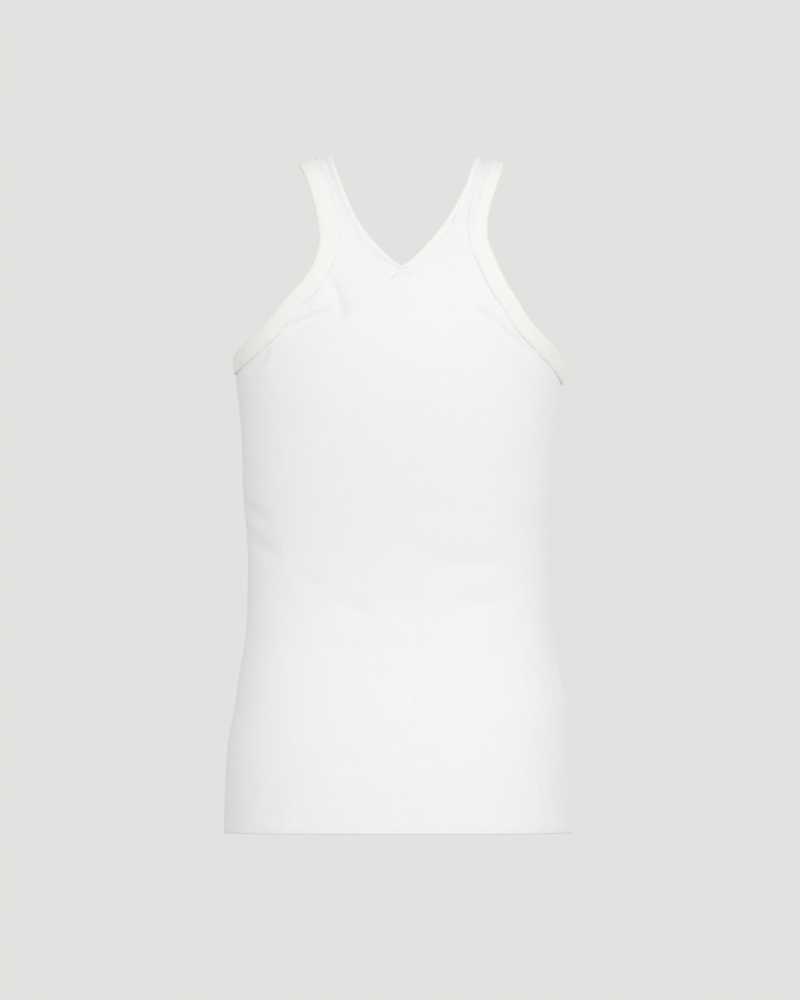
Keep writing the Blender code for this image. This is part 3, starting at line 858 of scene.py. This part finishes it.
def panel_columns(line):
    """Columns of a panel's outside, and the numbers of those that its inside has too."""
    columns = []
    edge = []
    for rib in range(2 * RIBS + 1):
        for phase, depth in RIB_SECTION if rib < 2 * RIBS else RIB_SECTION[:1]:
            share = (rib + phase) / RIBS - 1
            top = float(np.interp(share, line[:, 0], line[:, 1]))
            columns.append(Column(len(columns), share, top, depth * RIB_DEPTH))
            edge.append((share * RIBS * RIB_PITCH, top))
    return columns, inner_columns(edge)


def cut_size(face, columns):
    """Width, length and area of a panel's cloth laid flat, its turned hem with it."""
    girth = grain_length(HEM_REACH, face, LEFT) + grain_length(HEM_REACH, face, RIGHT)
    lengths = np.array([HEM_REACH + HEM_TURN - column.top for column in columns])
    shares = np.array([column.share for column in columns])
    area = np.trapz(lengths, shares) * girth / 2
    return girth, lengths.max(), area


class ProfilePoint(NamedTuple):
    """A point of a folded binding's section."""

    distance: float  # from the fold
    height: float  # over the panel
    rib_in: float = 0  # the way its ribs stand: into the cloth, and out of it
    rib_out: float = 0
    is_stitched: bool = False


def binding_profile(width, flatness):
    """Section of a folded binding, and how many of its points are on the outside.

    It runs from the outer sewn edge round the fold to the inner one, and back inside."""
    scale = min(1.0, width / FULL_EDGE_WIDTH)
    spread = scale * (1 + EDGE_SPREAD * flatness)
    outside = scale * BINDING_HEIGHT
    inside = -CLOTH - outside
    under = -CLOTH - BINDING_CLEARANCE
    middle = (outside + inside) / 2
    radius = (outside - inside) / 2
    nose = min(radius, FOLD_NOSE * width)
    top_off = SEWN_EDGE[-1][0]
    sewn_end = width - spread * top_off
    points = []
    for off, height, rib in SEWN_EDGE:
        is_stitched = off == STITCH_LINE
        if off < top_off:
            height *= 1 - EDGE_DROP * flatness
        height = max(BINDING_CLEARANCE, scale * height)
        points.append(ProfilePoint(width - spread * off, height, 0, rib, is_stitched))
    for k in range(1, BINDING_STEPS):
        distance = sewn_end + (nose - sewn_end) * k / BINDING_STEPS
        share = distance / width
        crown = 4 * BINDING_CROWN * width * share * (1 - share)
        points.append(ProfilePoint(distance, outside + crown, 0, 1))
    outer_count = len(points)
    for degrees in FOLD_ANGLES:
        out = math.cos(math.radians(degrees))
        up = math.sin(math.radians(degrees))
        points.append(ProfilePoint(nose * (1 - out), middle + radius * up, -out, up))
    points.append(ProfilePoint((nose + sewn_end) / 2, inside, 0, -1))
    for point in points[len(SEWN_EDGE) - 1 :: -1]:
        points.append(point._replace(height=-CLOTH - point.height, rib_out=-point.rib_out))
    points.append(ProfilePoint(width, under))
    points.append(ProfilePoint(SLOT_END, under))
    points.append(ProfilePoint(SLOT_END, BINDING_CLEARANCE))
    return points, outer_count


def ripple_height(side, face, height, distance):
    """How far the ripples of an armhole's binding raise it."""
    total = 0.0
    for where, panel, upper, lower, middle, half_width, depth in BINDING_RIPPLES:
        if (where, panel) == (side, face):
            along = min(1.0, max(0.0, (upper - height) / (upper - lower)))
            off = (distance - middle) / half_width
            total -= depth * math.sin(math.pi * along) * math.exp(-off * off)
    return total


def edge_lift(side, height):
    """How far an armhole binding's sewn edge stands off the cloth under the arm."""
    start, lift = EDGE_LIFTS[side]
    return lift * (1 - fade((start - height) / EDGE_LIFT_LENGTH))


def edge_flatness(side, section):
    heights, shares = zip(*EDGE_FLATNESS[side])
    return float(np.interp(height_at(section.cloth[1]), heights, shares))


def neck_width(section):
    across, reach = section.cloth
    heights, left, right = zip(*(FRONT_NECK_WIDTHS if reach > 0 else BACK_NECK_WIDTHS))
    return float(np.interp(height_at(reach), heights, left if across < 0 else right))


def walked_spots(section, distances):
    """Places and outward directions on the cloth, at distances into it from an edge's fold."""
    length = np.linalg.norm(section.inward)
    cloth = section.cloth
    gone = 0.0
    found = {}
    for distance in sorted(set(distances)):
        if distance > gone:
            cloth = walk(cloth, section.inward, (distance - gone) * length)
            gone = distance
        found[distance] = cloth_spot(*cloth)
    return found


def bind_edge(sections, side):
    """A strip folded over a closed cut edge, and its outer and inner lines of sewing.

    The side is LEFT, RIGHT or NECK."""
    cloth = Cloth(loop=round(max(section.number for section in sections) / SECTIONS_PER_RIB))
    sewing = ([], [])
    for section in sections:
        width = ARMHOLE_BINDING_WIDTH if side else neck_width(section)
        profile, outer_count = binding_profile(width, edge_flatness(side, section))
        spots = walked_spots(section, [point.distance for point in profile])
        face = BACK if section.cloth[1] < 0 else FRONT
        inward = unit(section.inward)
        rib = BINDING_RIB_DEPTH * BINDING_RIB_SECTION[section.number % SECTIONS_PER_RIB]
        wave = sum(h * math.sin(math.tau * section.along / w) for w, h in BINDING_WAVES)
        places = []
        for k, point in enumerate(profile):
            base, normal = spots[point.distance]
            raised = 0.0
            is_outside = k < outer_count
            if is_outside:
                share = point.distance / width
                raised = wave * share
                if side:
                    raised += ripple_height(side, face, base[2], point.distance)
                    raised += edge_lift(side, base[2]) * share**EDGE_LIFT_POWER
            ribs_stand = inward * point.rib_in + normal * point.rib_out
            place = base + normal * (point.height + raised) - rib * ribs_stand
            places.append(place)
            if point.is_stitched:
                line = sewing[0 if is_outside else 1]
                line.append((place, normal if is_outside else -normal))
        cloth.add(places, section.number / SECTIONS_PER_RIB, lengths_along(places) / BINDING_RIB)
    size = len(profile)
    total = len(cloth.points)
    for start in range(0, total, size):
        for k in range(size):
            here = start + k
            beside = start + (k + 1) % size
            cloth.faces.append((here, beside, (beside + size) % total, (here + size) % total))
    return cloth, sewing


def make_binding(side, sections, knit, thread):
    """A binding and its stitches."""
    name = BINDINGS[side]
    cloth, sewing = bind_edge(sections, side)
    stitches = sew(f"{name}_stitching", sewing, thread)
    piece = cloth_object(f"{name}_cloth", cloth, knit)
    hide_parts(name)
    return piece, stitches


def sew(name, lines, material):
    """Small arched stitches along lines of places with the directions out of the cloth there."""
    thread = Cloth()
    for line in lines:
        places, normals = (np.array(values) for values in zip(*line))
        along = lengths_along(places)
        count = int(along[-1] / STITCH_SPACING)
        for k in range(count):
            start = (k + 0.5) * along[-1] / count - STITCH / 2
            add_stitch(thread, start, places, normals, along)
    return cloth_object(name, thread, material)


def add_stitch(thread, start, places, normals, along):
    shares = np.linspace(0, 1, STITCH_RINGS)
    spots = start + shares * STITCH
    centres = points_at(spots, along, places)
    out = unit(points_at(spots, along, normals))
    arch = np.sin(math.pi * shares)
    centres += out * (THREAD_RISE * arch - THREAD_SINK)[:, None]
    sideways = unit(np.cross(centres[-1] - centres[0], out))
    radii = THREAD * (THREAD_END + (1 - THREAD_END) * arch**0.5)
    rings = []
    for k in range(STITCH_RINGS):
        turns = np.arange(THREAD_SIDES) / THREAD_SIDES
        angles = math.tau * turns[:, None]
        ring = centres[k] + radii[k] * (np.cos(angles) * sideways[k] + np.sin(angles) * out[k])
        rings.append(list(thread.add(ring, turns, spots[k] / RIB_PITCH)))
    for first, second in zip(rings, rings[1:]):
        for k in range(THREAD_SIDES):
            beside = (k + 1) % THREAD_SIDES
            thread.faces.append((first[k], first[beside], second[beside], second[k]))
    thread.faces += [tuple(rings[0]), tuple(rings[-1])]


def hem_line(face, depth, sign):
    """Where the hem is sewn: places, and directions out of the cloth on that side."""
    shares = np.linspace(-HEM_LINE_END, HEM_LINE_END, HEM_LINE_SAMPLES)
    places = cloth_row(face, shares, HEM_SEWING_REACH, depth)
    across = shares * half_girths(face, shares, HEM_SEWING_REACH)
    normals = outward_at(across, face * HEM_SEWING_REACH)
    return list(zip(places, sign * normals))


def make_panel(face, edges, knit, thread):
    """A panel and the stitches of its hem."""
    name = PANELS[face]
    lines = (hem_line(face, HEM_LINE_DEPTH, 1), hem_line(face, HEM_THICKNESS, -1))
    stitches = sew(f"{name}_hem_stitching", lines, thread)
    columns, inside_at = panel_columns(trim_line(edges, face))
    outside_rows, inside_rows = panel_rows()
    cloth = Cloth()
    outside = lay_rows(cloth, face, columns, outside_rows)
    inside = lay_rows(cloth, face, [columns[k] for k in inside_at], inside_rows)
    for outer_edge, inner_edge in zip(outside, inside):
        cloth.faces += strip(outer_edge, inner_edge)
    piece = cloth_object(f"{name}_cloth", cloth, knit)
    width, length, area = cut_size(face, columns)
    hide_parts(name)
    return piece, stitches


def face_knit_places(cloth):
    """The places in the knit of all the faces' corners, one after another."""
    places = []
    for face in cloth.faces:
        corners = [cloth.knit_places[vertex] for vertex in face]
        far = max(across for across, _ in corners) - cloth.loop / 2
        places += [(u + cloth.loop if u < far else u, v) for u, v in corners]
    return np.array(places)


def add_object(name, data):
    made = bpy.data.objects.new(name, data)
    bpy.context.scene.collection.objects.link(made)
    return made


def cloth_object(name, cloth, material):
    """A closed mesh in metres, with its faces turned outward and its places in the knit as UVs."""
    mesh = bpy.data.meshes.new(name)
    mesh.from_pydata(np.array(cloth.points) * METRES, [], cloth.faces)
    uv_map = mesh.uv_layers.new(name=UV_NAME)
    uv_map.data.foreach_set("uv", face_knit_places(cloth).ravel())
    shape = bmesh.new()
    shape.from_mesh(mesh)
    bmesh.ops.remove_doubles(shape, verts=shape.verts, dist=MERGE * METRES)
    bmesh.ops.recalc_face_normals(shape, faces=shape.faces)
    if shape.calc_volume(signed=True) < 0:
        bmesh.ops.reverse_faces(shape, faces=shape.faces)
    shape.to_mesh(mesh)
    shape.free()
    mesh.shade_smooth()
    mesh.set_sharp_from_angle(angle=math.radians(SHARP_ANGLE))
    mesh.materials.append(material)
    return add_object(name, mesh)


def set_inputs(node, inputs):
    """Sets a node's inputs to values, or links them to other nodes' outputs."""
    for socket, value in inputs.items():
        if isinstance(value, bpy.types.NodeSocket):
            node.id_data.links.new(value, node.inputs[socket])
        else:
            node.inputs[socket].default_value = value


def add_node(tree, kind, inputs=None, **settings):
    made = tree.nodes.new(kind)
    for setting, value in settings.items():
        setattr(made, setting, value)
    set_inputs(made, inputs or {})
    return made


def calculate(tree, operation, *values):
    """A Math node's result."""
    inputs = dict(enumerate(values))
    return add_node(tree, "ShaderNodeMath", inputs, operation=operation).outputs["Value"]


def bumped(tree, height, distance, strength, **under):
    """A Bump node's normal, which may lie on another one's, given as Normal."""
    inputs = {"Height": height, "Distance": distance, "Strength": strength, **under}
    return add_node(tree, "ShaderNodeBump", inputs).outputs["Normal"]


def mixed_colour(tree, share, first, second):
    """A Mix node's colour. Its sockets go by number, as several share each name."""
    inputs = {MIX_SHARE: share, MIX_FIRST: (*first, 1), MIX_SECOND: (*second, 1)}
    return add_node(tree, "ShaderNodeMix", inputs, data_type="RGBA").outputs[MIX_RESULT]


def new_group(name, inputs, outputs):
    """A node group with float inputs and outputs, the values given to it and its last node."""
    group = bpy.data.node_groups.new(name, "ShaderNodeTree")
    for in_out, names in (("INPUT", inputs), ("OUTPUT", outputs)):
        for socket in names:
            group.interface.new_socket(socket, in_out=in_out, socket_type="NodeSocketFloat")
    given = group.nodes.new("NodeGroupInput").outputs
    return group, given, group.nodes.new("NodeGroupOutput")


def knit_loops_group():
    """Rows of small V-shaped loops, and a mask of the grooves between the ribs, where painted shade
    darkens the knit.

    The UV map counts ribs both ways."""
    group, given, result = new_group("knit_loops", KNIT_LOOPS, ("Height", "Groove shade"))
    places = add_node(group, "ShaderNodeUVMap", uv_map=UV_NAME).outputs["UV"]
    parts = add_node(group, "ShaderNodeSeparateXYZ", {"Vector": places}).outputs
    find = partial(calculate, group)
    wale = find("MULTIPLY", parts["X"], given["Wales per rib"])
    course = find("MULTIPLY", parts["Y"], given["Courses per rib"])
    into_wale = find("PINGPONG", wale, 0.5)
    leaning = find("ADD", course, find("MULTIPLY", into_wale, given["Lean"]))
    yarn = find("SINE", find("MULTIPLY", leaning, math.tau))
    rounded = find("SINE", find("MULTIPLY", into_wale, math.pi))
    swell = find("MULTIPLY_ADD", yarn, LOOP_SWELL, 1 - LOOP_SWELL)
    # the grooves' mask, with which the knit's colour is darkened as painted shade
    in_rib = find("COSINE", find("MULTIPLY", parts["X"], math.tau))
    groove = find("MULTIPLY_ADD", in_rib, 0.5, 0.5)
    set_inputs(result, {"Height": find("MULTIPLY", rounded, swell), "Groove shade": groove})
    return group


def unevenness_group(name, size, effect, settings):
    """Unevenness of washed cotton, 0 to 1. The size and the effect are the names of its sockets."""
    group, given, result = new_group(name, (size,), (effect,))
    places = add_node(group, "ShaderNodeTexCoord").outputs["Object"]
    scale = calculate(group, "DIVIDE", 1.0, given[size])
    noise = add_node(group, "ShaderNodeTexNoise", {"Vector": places, "Scale": scale, **settings})
    set_inputs(result, {effect: noise.outputs["Fac"]})
    return group


def use_group(tree, group, inputs):
    return add_node(tree, "ShaderNodeGroup", inputs, node_tree=group).outputs


def new_material(name):
    material = bpy.data.materials.new(name)
    material.use_nodes = True
    return material, material.node_tree, material.node_tree.nodes["Principled BSDF"]


def knit_material(name, groups, colour, shade):
    """Matt cotton knit, its shade colour in darker patches of tone and as painted shade between its
    ribs.
    """
    material, tree, shader = new_material(name)
    loops = use_group(tree, groups["loops"], KNIT_LOOPS)
    fuzz = use_group(tree, groups["fuzz"], {"Grain size": FUZZ_SIZE})
    tone = use_group(tree, groups["tone"], {"Patch size": PATCH_SIZE})
    patches = calculate(tree, "MULTIPLY", tone["Tone"], PATCH_SHARE)
    # painted shade in the grooves between the ribs
    grooves = calculate(tree, "MULTIPLY", loops["Groove shade"], GROOVE_SHADE_SHARE)
    tone_and_groove_shade = calculate(tree, "ADD", patches, grooves)
    rough = bumped(tree, fuzz["Height"], FUZZ_HEIGHT, FUZZ_STRENGTH)
    looped = bumped(tree, loops["Height"], LOOP_HEIGHT, LOOP_STRENGTH, Normal=rough)
    base = mixed_colour(tree, tone_and_groove_shade, colour, shade)
    set_inputs(shader, {"Base Color": base, "Normal": looped, **MATT})
    return material


def thread_material(name, groups, colour):
    """Sewing thread, a little smoother than the knit and with finer fuzz."""
    material, tree, shader = new_material(name)
    fuzz = use_group(tree, groups["fuzz"], {"Grain size": FUZZ_SIZE / 2})
    rough = bumped(tree, fuzz["Height"], FUZZ_HEIGHT, 1.0)
    finish = {**MATT, "Roughness": THREAD_ROUGHNESS}
    set_inputs(shader, {"Base Color": (*colour, 1), "Normal": rough, **finish})
    return material


def make_stage():
    """A pale floor, far below the garment."""
    floor_mesh = bpy.data.meshes.new("floor")
    rim = [
        (FLOOR_RADIUS * math.cos(angle), FLOOR_RADIUS * math.sin(angle), FLOOR_HEIGHT)
        for angle in np.linspace(0, math.tau, FLOOR_SIDES, endpoint=False)
    ]
    floor_mesh.from_pydata(rim, [], [range(FLOOR_SIDES)])
    material, _, shader = new_material("floor_paint")
    set_inputs(shader, {"Base Color": (*FLOOR_COLOUR, 1), "Roughness": FLOOR_ROUGHNESS})
    floor_mesh.materials.append(material)
    add_object("floor", floor_mesh)


def make_world():
    """An even backdrop, a little dimmer as a light than it looks to the camera."""
    world = bpy.data.worlds.new("studio")
    bpy.context.scene.world = world
    world.use_nodes = True
    tree = world.node_tree
    is_seen = add_node(tree, "ShaderNodeLightPath").outputs["Is Camera Ray"]
    strength = calculate(tree, "MULTIPLY_ADD", is_seen, 1 - WORLD_LIGHT, WORLD_LIGHT)
    set_inputs(tree.nodes["Background"], {"Color": (*BACKDROP, 1), "Strength": strength})


def make_light(name, azimuth, elevation, power):
    """A soft square light, seen from the garment at an azimuth to the right of the camera."""
    data = bpy.data.lights.new(name, "AREA")
    data.shape = "SQUARE"
    data.size = LIGHT_SIZE
    data.energy = power
    light = add_object(name, data)
    turn = math.radians(azimuth)
    rise = math.radians(elevation)
    level = math.cos(rise)
    towards = Vector((math.sin(turn) * level, -math.cos(turn) * level, math.sin(rise)))
    light.location = Vector(VIEW_CENTRE) + LIGHT_DISTANCE * towards
    light.rotation_euler = towards.to_track_quat("Z", "Y").to_euler()
    light.visible_camera = False


def make_camera():
    data = bpy.data.cameras.new("camera")
    data.sensor_fit = "VERTICAL"
    data.sensor_height = SENSOR
    data.sensor_width = SENSOR
    data.lens = SENSOR * CAMERA_DISTANCE / VIEW_HEIGHT
    camera = add_object("camera", data)
    camera.location = Vector(VIEW_CENTRE) - Vector((0, CAMERA_DISTANCE, 0))
    camera.rotation_euler = (math.radians(90), 0, 0)
    bpy.context.scene.camera = camera


def main():
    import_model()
    groups = {
        "loops": knit_loops_group(),
        "fuzz": unevenness_group("cotton_fuzz", "Grain size", "Height", FUZZ_NOISE),
        "tone": unevenness_group("wash_tone", "Patch size", "Tone", PATCH_NOISE),
    }
    rib_knit = knit_material("rib_knit_cotton", groups, KNIT_WHITE, KNIT_PATCH_TONE_AND_GROOVE_SHADE)
    binding_knit = knit_material("binding_cotton", groups, BINDING_WHITE, BINDING_PATCH_TONE_AND_GROOVE_SHADE)
    thread = thread_material("sewing_thread", groups, BINDING_WHITE)

    edges = {side: edge_sections(armhole_path(side), is_neck=False) for side in SIDES}
    left_half, right_half = (half_neck_path(side) for side in SIDES)
    neck_path = np.concatenate((left_half[:-1], right_half[::-1]))
    edges[NECK] = edge_sections(neck_path, is_neck=True)

    made = []
    for face in PANELS:
        made += make_panel(face, edges, rib_knit, thread)
    for side in BINDINGS:
        made += make_binding(side, edges[side], binding_knit, thread)
    for piece in made:
        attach(piece, "root")

    make_stage()
    make_world()
    for light in LIGHTS:
        make_light(*light)
    make_camera()
    bpy.context.scene.view_settings.view_transform = "Standard"


main()
